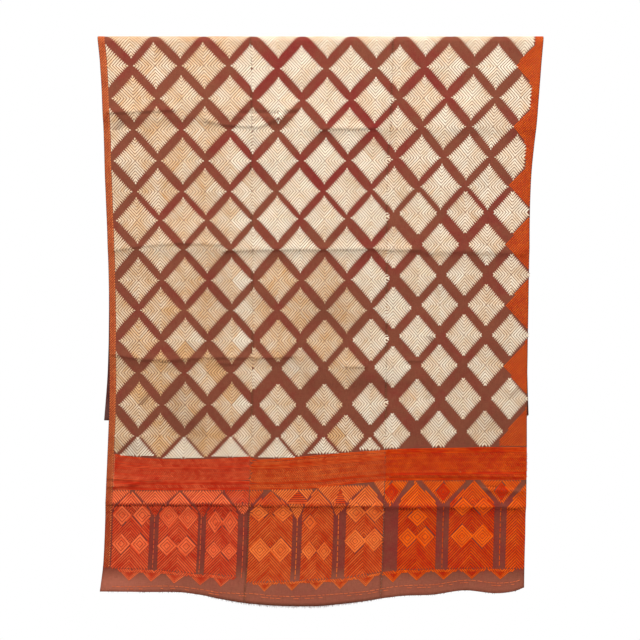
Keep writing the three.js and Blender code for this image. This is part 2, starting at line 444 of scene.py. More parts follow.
def make_weave_group():
    """Plain weave of uneven handspun thread: warp and weft cross over and under, with slubs."""
    sockets = ({"Flat": "Vector", "Threads": "Float"}, {"Height": "Float", "Slub": "Float"})
    group, entry, leave = new_group("plain_weave", *sockets)
    size = {"_0": entry.outputs["Flat"], "Scale": entry.outputs["Threads"]}
    scaled = node(group, "ShaderNodeVectorMath", {"operation": "SCALE"}, **size)
    split = node(group, "ShaderNodeSeparateXYZ", None, Vector=scaled.outputs[0])
    heights = []
    for own, other in ((0, 1), (1, 0)):
        turn = summed(group, "MULTIPLY", split.outputs[own], math.pi)
        ridge = summed(group, "ABSOLUTE", summed(group, "SINE", turn))
        step = summed(group, "ADD", summed(group, "FLOOR", split.outputs[own]), float(own))
        shift = summed(group, "MULTIPLY", summed(group, "ADD", split.outputs[other], step), math.pi)
        raised = summed(group, "MULTIPLY_ADD", summed(group, "SINE", shift), 0.5, 0.5)
        heights.append(summed(group, "MULTIPLY", ridge, raised))
    group.links.new(summed(group, "MAXIMUM", *heights), leave.inputs["Height"])
    threads = []
    for scale in ((60, 900, 1), (900, 50, 1)):
        stretched = node(group, "ShaderNodeMapping", None, Vector=entry.outputs["Flat"], Scale=scale)
        threads.append(noise(group, stretched.outputs[0], 1.0, 3.0))
    slub = summed(group, "MULTIPLY", summed(group, "ADD", *threads), 0.5)
    group.links.new(slub, leave.inputs["Slub"])
    return group


weave_group = make_weave_group()


def khaddar(name, worn, deep, fringe, fleck=None):
    """Brick red cotton, deeper where its dye has held, browner where it is soiled. The hollows of the weave
    are painted darker as painted shade, and over the border band the deeper red is painted bounce light.
    """
    material, tree, shader, flat = new_material(name)
    weave = node(tree, "ShaderNodeGroup", {"node_tree": weave_group}, Flat=flat, Threads=1250.0)
    height = weave.outputs["Height"]
    slub = weave.outputs["Slub"]
    dye, grime, bare, _ = read_tones(tree)
    held = patched(tree, dye, noise(tree, flat, 26.0, 4.0, 0.65), 0.35, 0.7, -0.25, 0.3)
    colour = mixed(tree, held, worn, deep)
    colour = mixed(tree, bare, colour, fringe)
    colour = mixed(tree, grime, colour, linear(88, 56, 40))
    if fleck:
        dots = node(tree, "ShaderNodeTexVoronoi", None, Vector=flat, Scale=240.0)
        marks = ranged(tree, dots.outputs["Distance"], 0.12, 0.2, 0.7, 0.0)
        colour = mixed(tree, marks, colour, fleck)
    colour = shaded(tree, colour, ranged(tree, slub, 0.3, 0.7, 0.72, 1.18))
    # Painted shade: the low places of the weave, between the threads, are darkened.
    colour = shaded(tree, colour, ranged(tree, height, 0.0, 0.8, 0.72, 1.06))
    rough = ranged(tree, slub, 0.3, 0.7, 0.95, 0.82)
    high = summed(tree, "MULTIPLY_ADD", slub, 0.8, height)
    finish(tree, shader, colour, rough, high, 0.6, 0.0005, 0.12)
    return material


outer_khaddar = khaddar("khaddar", linear(132, 72, 52), linear(134, 44, 40), linear(182, 104, 82))
inner_khaddar = khaddar(
    "khaddar_wrong_side", linear(98, 48, 42), linear(96, 34, 36), linear(112, 70, 64), linear(196, 150, 120)
)


def make_ground(name, start, end):
    """One loom width: an outer and an inner face on the same threads, closed along its four edges."""
    columns = [even_steps(start, end, 9.0)]
    if start < NARROW_FOLD < end:
        columns.append(even_steps(NARROW_FOLD - 30, NARROW_FOLD + 30, 4.5))
    columns = thinned(np.unique(np.concatenate(columns)), 3.0)
    rows = cloth_rows()
    row, column = np.meshgrid(rows, columns, indexing="ij")
    run = hem_run(column, row)
    outer = place(column, run, np.zeros_like(run))
    inner = place(column, run, np.full_like(run, -CLOTH_DEPTH))
    points = np.concatenate([outer.reshape(-1, 3), inner.reshape(-1, 3)])
    number = np.arange(2 * row.size).reshape(2, *row.shape)
    top = number[0]
    under = number[1]
    quads = [
        np.stack([top[:-1, :-1], top[1:, :-1], top[1:, 1:], top[:-1, 1:]], -1).reshape(-1, 4),
        np.stack([under[:-1, :-1], under[:-1, 1:], under[1:, 1:], under[1:, :-1]], -1).reshape(-1, 4),
        np.stack([top[:-1, 0], under[:-1, 0], under[1:, 0], top[1:, 0]], -1),
        np.stack([top[:-1, -1], top[1:, -1], under[1:, -1], under[:-1, -1]], -1),
        np.stack([top[0, :-1], top[0, 1:], under[0, 1:], under[0, :-1]], -1),
        np.stack([top[-1, :-1], under[-1, :-1], under[-1, 1:], top[-1, 1:]], -1),
    ]
    faces = np.concatenate(quads)
    piece = mesh_piece(name, points, faces, [outer_khaddar, inner_khaddar])
    inside = np.zeros(len(faces), np.int32)
    inside[len(quads[0]):len(quads[0]) + len(quads[1])] = 1
    piece.data.polygons.foreach_set("material_index", inside)
    flat = np.stack([column.ravel(), run.ravel()], -1)
    note_flat_map(piece.data, np.concatenate([flat, flat]))
    bare = np.maximum(eased(run, 1445, 1490), eased(-run, 985, 1010))
    # Across the border band the ground is painted deeper red, as painted bounce light from the orange silk
    # over it; the cloth there is the same.
    held = np.maximum(crimson(column, run), 0.6 * eased(run, 1225, 1260) * (1 - eased(run, 1440, 1470)))
    hem = hem_level(column)
    worn = 0.55 * eased(run, hem - 9, hem - 2) * (0.3 + bump(column - 560, 260))
    grime = np.maximum(soil(column, run), worn)
    tones = np.stack([held, grime, bare * (0.4 + 0.6 * bump(column - 40, 110))], -1).reshape(-1, 3)
    note_tones(piece.data, np.concatenate([tones, tones]))
    return piece


for name, start, end in rows_of(PANELS):
    ground = make_ground("ground_" + name, start, end)
    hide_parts("panel_" + name)


# ---------------------------------------------------------------------------------------------------
# The ivory diamonds. Each is darned from the wrong side in untwisted silk: long floats lie side by side,
# upright in its top and bottom quarters and sideways in its left and right ones, and each begins a
# thread on from the last, which makes the slanting stripes and the toothed edges.
LATTICE_ROWS = {
    "left": [8, 91, 180, 264.5, 348, 431, 509, 588.5, 671, 752, 834, 920.6, 1007, 1091, 1158],
    "middle": [8, 99, 185, 266.7, 348, 430, 505, 588.5, 671, 752, 834, 908.5, 1007, 1091, 1159],
    "right": [3, 94, 177, 256, 338, 418, 487, 574, 655.5, 737, 818.5, 900, 990, 1079, 1163],
}
BACK_ROW_STEP = 84.0
BACK_LATTICE_END = -905.0
LAST_ROW = 14
EDGE_ROW_START = 16.4
INNER_ROW_START = 87.0
COLUMN_STEP = 134.05
HALF_SIZES = {"left": (60.3, 63.1), "middle": (58.8, 62.8), "right": (57.4, 61.5)}
LATTICE_FOOT = {
    "across": [0, 20, 60, 120, 200, 300, 380, 413, 415, 480, 540, 620, 760, 860, 1000, 1210],
    "run": [1136, 1138, 1144, 1149, 1152, 1152, 1147, 1143, 1154, 1151, 1146, 1140, 1130, 1123, 1121, 1119],
}
STRIPE_STEP = 9.0
STRIPE_FILL = 0.93
TIP_LENGTH = 6.5
UPRIGHT = ((0, 1), (0, 1))
SIDEWAYS = ((1, 0), (1, 0))
CORNERS = ((1, 1), (1, -1), (-1, 1), (-1, -1))
# Where each kind of note ends in a stripe's row: its start, its end, half its width, the two cuts, its
# height, its tone, whether it is tapered, and how strongly its sides are painted in shade.
NOTE_ENDS = [2, 4, 5, 7, 9, 10, 13, 14]
chance = np.random.default_rng(17)


def reach(point, way, sides):
    """The share of a line, from point by way, that lies inside straight sides (x, y, most)."""
    low = 0.0
    high = 1.0
    for x, y, most in sides:
        slope = x * way[0] + y * way[1]
        room = most - x * point[0] - y * point[1]
        if abs(slope) < 1e-9:
            if room < 0:
                return None
        elif slope > 0:
            high = min(high, room / slope)
        else:
            low = max(low, room / slope)
    return (low, high) if high - low > 1e-6 else None


def between(low, high):
    """The room between two places across the cloth, as straight sides."""
    return [(-1, 0, -low), (1, 0, high)]


class Floss:
    """Floss for one piece. Stripes are noted on the flat cloth, and made into one mesh on its folds.
    The middle share of a stripe, `level`, is level, and its sides fall away to the cloth, where the silk
    paints them darker as painted shade."""

    def __init__(self, level=0.5):
        self.notes = []
        self.level = level

    def lay(self, start, end, half, tone, cuts=None, sides=(), holes=(), shortest=2.0, tapered=False,
            soft=1.0):
        """Lays a stripe from start to end, twice `half` wide, with its ends cut along `cuts`. It is kept
        inside the sides and outside every hole, which are also sets of sides. `soft` below 1 weakens the
        painted shade on its sides."""
        way = (end[0] - start[0], end[1] - start[1])
        inside = reach(start, way, sides)
        spans = [inside] if inside else []
        for hole in holes:
            taken = reach(start, way, hole)
            if taken is None:
                continue
            left = []
            for low, high in spans:
                if taken[0] > low:
                    left.append((low, min(high, taken[0])))
                if taken[1] < high:
                    left.append((max(low, taken[1]), high))
            spans = left
        cuts = cuts or ((-way[1], way[0]), (-way[1], way[0]))
        for low, high in spans:
            if (high - low) * math.hypot(*way) < shortest:
                continue
            first = (start[0] + way[0] * low, start[1] + way[1] * low)
            last = (start[0] + way[0] * high, start[1] + way[1] * high)
            age = soil((first[0] + last[0]) / 2, (first[1] + last[1]) / 2)
            shade = (tone, age, chance.random())
            height = 0.8 if tapered else 0.75 + 0.1 * chance.random()
            whole = tapered and high == 1.0
            self.notes.append((*first, *last, half, *cuts[0], *cuts[1], height, *shade, whole, soft))

    def finest(self, across, run):
        """How long the straight parts of a stripe may be at a place."""
        down = run - BEND_SPARE
        longest = np.full(across.shape, 15.0)
        for line in STORED_CREASES["down"]:
            longest = np.where(np.abs(down - line) < 30, 8.0, longest)
        longest = np.where((np.abs(across - NARROW_FOLD) < 40) & (run > 200), 9.0, longest)
        for places, levels in rows_of(CREASE_LINES, "across", "down"):
            line = np.interp(across, places, levels)
            inside = (across > places[0] - CREASE_FADE) & (across < places[-1] + CREASE_FADE)
            longest = np.where(inside & (np.abs(down - line) < 22), 4.5, longest)
        return np.where(np.abs(run) < 34, 5.0, longest)

    def make(self, name, materials):
        """Makes the mesh: each stripe is a low rounded band with a flat underside and closed ends."""
        notes = np.array(self.notes)
        start, end, half, *cuts, height, tone, tapered, soft = np.split(notes, NOTE_ENDS, axis=1)
        middle = (start + end) / 2
        longest = np.minimum(self.finest(*middle.T), self.finest(*end.T))
        parts = np.maximum(np.ceil(np.linalg.norm(end - start, axis=1) / longest), 1).astype(int)
        kinds = list(zip(parts.tolist(), (tapered[:, 0] > 0).tolist()))
        points = []
        faces = []
        flats = []
        tones = []
        count = 0
        for kind in sorted(set(kinds)):
            number, tapered = kind
            some = notes[[other == kind for other in kinds]]
            start, end, half, *cuts, height, tone, _, soft = np.split(some, NOTE_ENDS, axis=1)
            along = end - start
            long = np.linalg.norm(along, axis=1, keepdims=True)
            way = along / long
            square = np.stack([-way[:, 1], way[:, 0]], -1)
            cuts = [cut / (cut * square).sum(1, keepdims=True) * half for cut in cuts]
            t = np.linspace(0, 1, number + 1)[None, :] * np.ones((len(some), 1))
            full = np.ones(number + 1)
            low = np.ones(number + 1)
            if tapered:
                tip = np.minimum(TIP_LENGTH / long, 0.45)
                t = np.concatenate([t * (1 - tip), np.ones((len(some), 1))], 1)
                full = np.append(full, 0.15)
                low = np.append(low, 0.5)
                number += 1
            t = t[..., None]
            centre = start[:, None] + along[:, None] * t
            aside = (cuts[0][:, None] * (1 - t) + cuts[1][:, None] * t) * full[:, None]
            share = np.array([-1, -self.level, self.level, 1])[:, None]
            spots = centre[:, :, None] + aside[:, :, None] * share
            tall = height[..., None] * np.ones(spots.shape[:3]) * low[:, None]
            tall[:, :, [0, 3]] = -0.15
            points.append(place(spots[..., 0], spots[..., 1], tall).reshape(-1, 3))
            numbers = count + np.arange(tall.size).reshape(tall.shape)
            near = numbers[:, :-1]
            far = numbers[:, 1:]
            for one, two in ((0, 1), (1, 2), (2, 3), (3, 0)):
                quad = np.stack([near[..., one], near[..., two], far[..., two], far[..., one]], -1)
                faces.append(quad.reshape(-1, 4))
            faces.append(numbers[:, 0, ::-1])
            faces.append(numbers[:, -1, :])
            u = (long[..., None] * t) * np.ones((1, 1, 4)) + some[:, 0, None, None] * 3
            v = np.linalg.norm(aside, axis=-1)[:, :, None] * share[:, 0]
            flats.append(np.stack([u, v], -1).reshape(-1, 2))
            shape = np.ones((1, number + 1, 4, 1))
            # How far each point lies out to the side, times `soft`: the silk paints the sides darker from
            # it, as painted shade.
            edge = np.abs(share) * soft[:, None, None] * shape
            tones.append(np.concatenate([tone[:, None, None] * shape, edge], -1).reshape(-1, 4))
            count += tall.size
        piece = mesh_piece(name, np.concatenate(points), np.concatenate(faces), materials)
        piece.data.shade_flat()
        note_flat_map(piece.data, np.concatenate(flats))
        note_tones(piece.data, np.concatenate(tones))
        return piece


def darn_diamond(floss, middle, halves, tones, sides):
    """One diamond of four quarters, its tones in the order top, right, bottom, left."""
    x, y = middle
    wide, tall = halves
    half = STRIPE_STEP / 2 * STRIPE_FILL * math.cos(math.atan2(tall, wide))
    for east, south in CORNERS:
        for upright in (1, 0):
            cuts = UPRIGHT if upright else SIDEWAYS
            quarter = 1 + south if upright else 2 - east
            for number in range(int(tall / STRIPE_STEP) + 1):
                away = (number + 0.5) * STRIPE_STEP / tall
                share = (1 - away) / 2
                if share > 0.02:
                    start = (x + east * wide * (1 - upright) * away, y + south * tall * upright * away)
                    end = (start[0] + east * wide * share, start[1] + south * tall * share)
                    tone = tones[quarter] + chance.normal(0, 0.06)
                    floss.lay(start, end, half, tone, cuts, sides, tapered=True)


def straight(table, place):
    """A table's second column at places along its first, straight between its rows."""
    return np.interp(place, *table.values())


def row_level(row, across):
    """How far along the cloth a row of diamonds lies, at a place across it."""
    if row < 0:
        return row_level(0, across) + row * BACK_ROW_STEP
    if across < SEAMS[0]:
        return LATTICE_ROWS["left"][row]
    towards = eased(across, 690, 960)
    return LATTICE_ROWS["middle"][row] * (1 - towards) + LATTICE_ROWS["right"][row] * towards


# Tones of the silk by quarter, 0 for the whitest skeins and 1 for the most tanned: top, right, bottom,
# left. Each row names a lattice row and the diamond's place in it.
SKEINS = {
    (4, 2): (0.45, 0.05, 0.5, 0.45), (6, 2): (0.5, 0.05, 0.5, 0.5), (8, 2): (0.5, 0.08, 0.55, 0.5),
    (10, 2): (0.5, 0.05, 0.75, 0.55), (12, 2): (0.95, 0.12, 0.6, 0.6), (10, 1): (0.6, 0.3, 0.95, 0.55),
    (11, 2): (0.95, 0.9, 0.6, 0.55), (12, 0): (0.85, 0.85, 0.6, 0.5), (13, 1): (0.75, 0.8, 0.9, 0.7),
    (13, 2): (0.8, 0.85, 0.85, 0.75), (8, 3): (0.7, 0.65, 0.7, 0.7), (8, 4): (0.7, 0.6, 0.75, 0.65),
    (9, 4): (0.75, 0.7, 0.75, 0.7), (9, 5): (0.7, 0.6, 0.7, 0.7), (10, 3): (0.75, 0.7, 0.8, 0.6),
    (10, 4): (0.7, 0.7, 0.75, 0.7), (11, 5): (0.7, 0.65, 0.7, 0.75), (8, 5): (0.1, 0.15, 0.1, 0.15),
    (9, 6): (0.1, 0.1, 0.15, 0.1), (11, 6): (0.15, 0.1, 0.1, 0.15), (10, 6): (0.15, 0.1, 0.15, 0.1),
    (9, 3): (0.4, 0.75, 0.6, 0.15), (13, 5): (0.5, 0.4, 0.6, 0.95), (2, 2): (0.45, 0.5, 0.5, 0.4),
}


def skein_tones(row, column, across, run):
    """The tones of one diamond's four quarters."""
    if row == LAST_ROW:
        return (0.12, 0.12, 0.12, 0.12)
    if (row, column) in SKEINS:
        return SKEINS[(row, column)]
    if across < SEAMS[0]:
        base = 0.56 + 0.2 * eased(run, 500, 900)
    elif across < SEAMS[1]:
        base = 0.2 + 0.35 * eased(run, 520, 800) * (1 - eased(across, 640, 760))
    else:
        base = 0.3
    return tuple(np.clip(base + chance.normal(0, 0.1, 4), 0, 1))


RIGHT_STRIP = {
    "run": [-1100, 0, 190, 340, 480, 600, 1000, 1040, 2000],
    "wide": [20, 25, 22.5, 23, 4, 0, 0, 14, 14],
}
STRIP_EDGE = 20.0


def diamond_places():
    """Every diamond of the lattice: its row, its place in the row, and its middle."""
    for row in range(-11, LAST_ROW + 1):
        at_edge = row % 2 != 0
        for column in range(-1, 9 if at_edge else 10):
            across = (EDGE_ROW_START if at_edge else INNER_ROW_START) + column * COLUMN_STEP
            if -60 < across < WIDTH + 40:
                yield row, column, across


def make_ivory(name, start, end):
    """The ivory work of one loom width, worked before the widths were sewn together."""
    floss = Floss(0.6)
    wide, tall = HALF_SIZES[name]
    for row, column, across in diamond_places():
        level = row_level(row, min(max(across, start + 1), end - 1))
        foot = straight(LATTICE_FOOT, across)
        if across + wide < start or across - wide > end:
            continue
        if level - tall > foot or level + tall < BACK_LATTICE_END:
            continue
        if row == LAST_ROW and across > 800:
            continue
        strip = straight(RIGHT_STRIP, level)
        first = max(start + 0.15, STRIP_EDGE if start == 0 else 0)
        last = min(end - 0.15, WIDTH - strip)
        sides = between(first, last) + [(0, 1, foot - 2), (0, -1, -BACK_LATTICE_END)]
        tones = skein_tones(row, column, across, level)
        spare = 5.5 if row == LAST_ROW else -1.4 * eased(level, 400, 800)
        darn_diamond(floss, (across, level), (wide + spare, tall + spare), tones, sides)
    return floss.make("ivory_diamonds_" + name, [ivory_silk])


def make_strand_group():
    """Untwisted floss: fine filaments that lie side by side across a stripe, a little uneven. Its shade is
    painted into the silk's colour as painted sheen and shade.
    """
    sockets = ({"Flat": "Vector", "Fineness": "Float"}, {"Height": "Float", "Shade": "Float"})
    group, entry, leave = new_group("floss_strands", *sockets)
    drawn = {"_0": entry.outputs["Flat"], "_1": (1, 0.07, 1)}
    shaped = node(group, "ShaderNodeVectorMath", {"operation": "MULTIPLY"}, **drawn)
    size = {"_0": shaped.outputs[0], "Scale": entry.outputs["Fineness"]}
    scaled = node(group, "ShaderNodeVectorMath", {"operation": "SCALE"}, **size).outputs[0]
    fine = noise(group, scaled, 1.0, 3.0, 0.6)
    group.links.new(fine, leave.inputs["Height"])
    shade = summed(group, "MULTIPLY", summed(group, "ADD", fine, noise(group, scaled, 0.22, 2.0)), 0.5)
    group.links.new(shade, leave.inputs["Shade"])
    return group


strand_group = make_strand_group()


def silk(name, pale, aged_and_sheen, soiled, low, high, gloss, edge, level=0.5):
    """Floss silk: older skeins are darker and soil dulls it. The filaments are painted lighter and darker
    as painted sheen and shade, and each stripe's sides are painted darker as painted shade.
    """
    material, tree, shader, flat = new_material(name)
    strands = node(tree, "ShaderNodeGroup", {"node_tree": strand_group}, Flat=flat, Fineness=1300.0)
    shade = strands.outputs["Shade"]
    tan_and_sheen, grime, skein, side = read_tones(tree)
    where = node(tree, "ShaderNodeTexCoord").outputs["Object"]
    # For ivory this mixes towards tanned silk; for the orange silks towards light orange, which is painted
    # sheen in the bays' light diamonds.
    age = patched(tree, tan_and_sheen, noise(tree, where, 34.0, 5.0, 0.7), 0.35, 0.68, -0.2, 0.25)
    colour = mixed(tree, age, pale, aged_and_sheen)
    colour = mixed(tree, grime, colour, soiled)
    # Painted sheen and shade: the filaments' unevenness makes the colour lighter and darker, from `low` to
    # `high`.
    colour = shaded(tree, colour, ranged(tree, shade, 0.3, 0.7, low, high))
    colour = shaded(tree, colour, ranged(tree, skein, 0.0, 1.0, 0.93, 1.05))
    # Painted shade: from `level` out to the side of a stripe the colour darkens to `edge`.
    colour = shaded(tree, colour, ranged(tree, side, level, 1.0, 1.0, edge))
    rough = ranged(tree, shade, 0.3, 0.7, 0.58, 0.42)
    finish(tree, shader, colour, rough, strands.outputs["Height"], 0.5, 0.0004, gloss)
    return material


# 0.88 and 1.06 bound the painted filament sheen and shade; 0.17 is how dark the painted side shade gets, 0.6
# where it begins.
ivory_silk = silk("ivory_silk", linear(239, 223, 199), linear(212, 165, 115), linear(112, 72, 48),
                  0.88, 1.06, 0.15, 0.17, 0.6)

for name, start, end in rows_of(PANELS):
    diamonds = make_ivory(name, start, end)


# ---------------------------------------------------------------------------------------------------
# The orange sides. A narrow band of orange silk is darned down each selvedge in small slanting floats.
# On the right it widens into half diamonds, which fill the places between the ivory ones.
CHECK_STEP = 7.0
CHECK_INSET = 2.9
LEFT_STRIP_END = 1453
RIGHT_STRIP_END = 1121
HATCH_FILL = 0.92
HALF_DIAMOND = {"point": 1159, "slope": 61.5 / 57.5, "gap": 65.5, "last": (1070, 1200)}


def hatch(floss, box, sides, holes, slope, step, tone):
    """Parallel stripes over a box, `step` apart down the cloth, cut to the sides."""
    low_x, high_x, low_y, high_y = box
    rise = slope * (high_x - low_x)
    first = math.floor((low_y - max(rise, 0)) / step)
    last = math.ceil((high_y - min(rise, 0)) / step)
    half = step / 2 * HATCH_FILL * math.cos(math.atan(slope))
    for number in range(first, last + 1):
        start = (low_x, number * step)
        end = (high_x, number * step + rise)
        floss.lay(start, end, half, tone + chance.normal(0, 0.09), UPRIGHT, sides, holes)


def check(floss, across, run, tone):
    """One small float of the chequered work, set on its corner."""
    start = (across - 1.45, run + 1.45)
    end = (across + 1.45, run - 1.45)
    floss.lay(start, end, 1.9, tone + chance.normal(0, 0.12))


def make_left_strip():
    """The band down the left selvedge, chequered, with a line of peach along its inner edge."""
    floss = Floss()
    for number in range(int(-BACK_LENGTH / CHECK_STEP), int(LEFT_STRIP_END / CHECK_STEP)):
        for part in range(5):
            across = CHECK_INSET + part * CHECK_STEP / 2
            run = (number + 0.5 * (part % 2)) * CHECK_STEP
            tone = 0.9 if part == 4 else 0.5
            check(floss, across, run, tone - 0.3 * eased(run, 1150, 1300))
    return floss.make("side_strip_left", [orange_faded])


def in_half_diamond(across, run):
    """Whether a place lies in one of the half diamonds that widen the right side."""
    if run < BACK_LATTICE_END:
        return False
    inwards = HALF_DIAMOND["slope"] * (across - HALF_DIAMOND["point"])
    gap = HALF_DIAMOND["gap"]
    for row in range(-11, LAST_ROW, 2):
        above = row_level(row - 1, 1205) + gap
        below = row_level(row + 1, 1205) - gap
        if row == LAST_ROW - 1:
            above, below = HALF_DIAMOND["last"]
        if above - inwards < run < below + inwards:
            return True
    return False


def make_right_side():
    """The band down the right selvedge and the half diamonds that widen it, chequered in small floats."""
    floss = Floss()
    for number in range(int(-BACK_LENGTH * 2 / CHECK_STEP), int(RIGHT_STRIP_END * 2 / CHECK_STEP)):
        run = number * CHECK_STEP / 2
        wide = straight(RIGHT_STRIP, run)
        for part in range(number % 2, 22, 2):
            across = WIDTH - CHECK_INSET - part * CHECK_STEP / 2
            if across > WIDTH - wide + 2 or in_half_diamond(across, run):
                check(floss, across, run, 0.6)
    return floss.make("side_strip_right", [orange_right])


# For the orange silks the first colour is deep orange and the second light orange, the bays' light diamonds
# using the light end as painted sheen. The last two numbers set the painted shade at a stripe's sides.
orange_left = silk(
    "orange_silk_rosy", linear(194, 44, 16), linear(238, 108, 62), linear(120, 60, 40), 0.82, 1.14, 0.05, 0.3
)
orange_middle = silk(
    "orange_silk_warm", linear(192, 54, 10), linear(236, 116, 52), linear(110, 50, 30), 0.82, 1.14, 0.05, 0.3
)
orange_right = silk(
    "orange_silk_deep", linear(192, 40, 2), linear(236, 98, 16), linear(110, 46, 24), 0.82, 1.14, 0.04, 0.3
)
orange_faded = silk(
    "orange_silk_faded", linear(190, 68, 26), linear(240, 130, 70), linear(104, 52, 34),
    0.82, 1.1, 0.05, 0.15,
)
for strip in (make_left_strip(), make_right_side()):
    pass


# ---------------------------------------------------------------------------------------------------
# The front border. A close band of plain orange darning lies under the lattice, then nine arched bays
# stand on a row of small hanging triangles, with bare khaddar left for their posts and arches.
BORDER_TOP = {
    "across": [0, 300, 600, 700, 820, 1210],
    "run": [1236, 1238, 1233, 1222, 1211, 1209],
}
BAYS = {
    "left": [22.4, 156.6, 291.1, 415.8, 567.6, 694.1, 844.1, 989.8, 1155.6],
    "right": [129.9, 268.4, 383.4, 540.3, 657.6, 801.0, 953.3, 1120.3, 1209.5],
    "peak": [77.0, 214.7, 335.7, 474.2, 605.9, 756.5, 890.4, 1058.5, 1209.5],
    "top": [1240, 1242, 1247, 1240, 1234, 1223, 1213, 1213, 1218],
    "spring": [1296, 1300, 1304, 1306, 1300, 1284, 1276, 1277, 1282],
    "foot_left": [1449, 1451, 1464, 1486, 1480, 1475, 1452, 1449, 1449],
    "foot_right": [1450, 1463, 1470, 1482, 1477, 1458, 1449, 1449, 1449],
    "band_left": [3, 4, 4, 20, 4, 4, 20, 22, 20],
    "band_right": [3, 4, 12, 4, 4, 20, 20, 22, 0],
    "shoulder_in": [0.2, 0.2, 0.2, 0.24, 0.22, 0.12, 0.14, 0.14, 0.2],
    "shoulder_up": [0.34, 0.34, 0.34, 0.46, 0.4, 0.26, 0.24, 0.24, 0.24],
    "field": [0.34, 0.32, 0.3, 0.32, 0.28, 0.24, 0.26, 0.24, 0.38],
    "head": [0.85, 0.85, 0.8, 0.3, 0.6, 0.85, 0.75, 0.5, 0.7],
    "head_to": [1273, 1273, 1273, 1277, 1273, 1280, 1277, 1262, 1290],
}
# The light diamonds let into the bays: their bay, middle, half sizes and tone. Their light orange is painted
# sheen.
SHEEN_DIAMONDS = {
    "bay": [0, 0, 0, 0, 1, 1, 1, 1, 2, 2, 2, 2, 3, 3, 3, 3, 4, 4, 4, 5, 5, 5, 5, 6, 6, 6, 7, 7, 7, 7],
    "across": [49, 107.5, 49, 103, 184.5, 239.4, 182.2, 237.1, 317.6, 360.7, 315.3, 360.7,
               442, 512, 449.2, 508.4, 590.3, 633.4, 590.3, 722.5, 777, 722, 777,
               872.3, 922.3, 899, 1028.9, 1088.1, 1028.9, 1088.1],
    "run": [1305, 1305, 1383, 1383, 1307, 1311, 1387, 1389, 1324, 1324, 1400, 1403,
            1298.6, 1298.6, 1398, 1398, 1400.4, 1402.6, 1323.7, 1298.6, 1296, 1376, 1371.5,
            1365.3, 1363, 1309.4, 1362, 1362, 1282, 1282],
    "wide": [27.9, 27.9, 27.9, 27.9, 29.4, 29.4, 29.4, 29.4, 23.7, 23.7, 23.7, 23.7, 29.4, 29.4, 33.4, 33.4,
             22.6, 22.6, 20.3, 29.4, 29.4, 32.8, 32.8, 28.2, 28.2, 29.4, 33.4, 33.4, 29.4, 29.4],
    "tall": [28.8, 28.8, 28.8, 28.8, 33, 33, 28.6, 28.6, 32.7, 32.7, 23.8, 23.8, 24.2, 24.2, 34.1, 34.1,
             26.7, 26.7, 22, 28.6, 28.6, 32.7, 32.7, 28.3, 28.3, 26.4, 32.7, 32.7, 26.4, 26.4],
    "tone": [0.77, 0.77, 0.77, 0.77, 0.68, 0.72, 0.77, 0.72, 0.63, 0.63, 0.68, 0.68, 0.77, 0.77, 0.85, 0.81,
             0.77, 0.72, 0.5, 0.77, 0.72, 0.85, 0.81, 0.72, 0.72, 0.77, 0.77, 0.72, 0.68, 0.68],
}
# The dark line up the middle of each post. One post has none.
POSTS = {
    "line": [143.5, 277.0, 400.0, 553.8, 672.5, 0, 972.8, 1138.4],
    "tone": [0.6, 0.6, 0.6, 0.7, 0.7, 0, 0.5, 0.6],
    "width": [1.1, 1.2, 1.3, 1.4, 1.5, 0, 1.2, 1.3],
}
BASE_REACH = 36.0
BASE_STEP = 6.8
BASE_TEETH = {
    "middle": [80, 144, 210, 284, 344, 470, 548, 617, 685, 758, 834.8, 902.5, 978.8, 1060.5, 1142.2],
    "wide": [27, 27, 27, 27, 24, 20, 20, 20, 22, 24, 25, 26, 26, 26, 26],
    "tall": [23, 24, 23, 22, 22, 19, 19, 20, 21, 24, 24, 22, 21, 21, 21],
    "row": [8, 8, 8, 8, 8, 6, 6, 7, 8, 8, 8, 7, 7, 7, 7],
}
LAST_BAY_MIDDLE = 1185.0
CHEVRON_STEP = 8.4
RING_STEP = 6.08


def border_foot(across):
    """Where the bays stand, along the cloth."""
    places = []
    levels = []
    for left, right, low, high in rows_of(BAYS, "left", "right", "foot_left", "foot_right"):
        places += [left, right]
        levels += [low, high]
    return np.interp(across, places, levels)


def ring_diamond(floss, middle, halves, tone, sides):
    """A small diamond of stripes one inside another, parallel to its edges."""
    x, y = middle
    wide, tall = halves
    square = wide * tall / math.hypot(wide, tall)
    rings = max(int(round(square / RING_STEP)), 2)
    half = square / rings / 2 * 0.93
    for ring in range(rings):
        share = 1 - (ring + 0.5) / rings
        for east, south in CORNERS:
            start = (x + east * wide * share, y)
            end = (x, y + south * tall * share)
            shade = tone + chance.normal(0, 0.07)
            floss.lay(start, end, half, shade, ((1, 0), (0, 1)), sides, shortest=1.0, soft=0.78)


def diamond_sides(middle, halves):
    """A diamond with a little room round it, as four straight sides."""
    x, y = middle
    wide = halves[0] + 0.8
    tall = halves[1] + 0.8
    return [(east / wide, south / tall, 1 + east * x / wide + south * y / tall) for east, south in CORNERS]


def bay(number, *names):
    """The named sizes of one bay."""
    return [BAYS[name][number] for name in names]


def bay_sides(number, spare=0.0):
    """One bay as straight sides: two posts, the foot, and the two slopes of its arch."""
    left, right, peak, top, spring = bay(number, "left", "right", "peak", "top", "spring")
    low, high, reach_in, reach_up = bay(number, "foot_left", "foot_right", "shoulder_in", "shoulder_up")
    lean = (high - low) / (right - left)
    sides = between(left, right) + [(-lean, 1, low - lean * left)]
    for post in (left, right):
        if post == peak:
            continue
        shoulder = (post + (peak - post) * reach_in, spring + (top - spring) * reach_up)
        for first, last in (((post, spring), shoulder), (shoulder, (peak, top))):
            fall = (last[1] - first[1]) / (last[0] - first[0])
            sides.append((fall, -1, fall * first[0] - first[1]))
    return [(x, y, most + spare * math.hypot(x, y)) for x, y, most in sides]


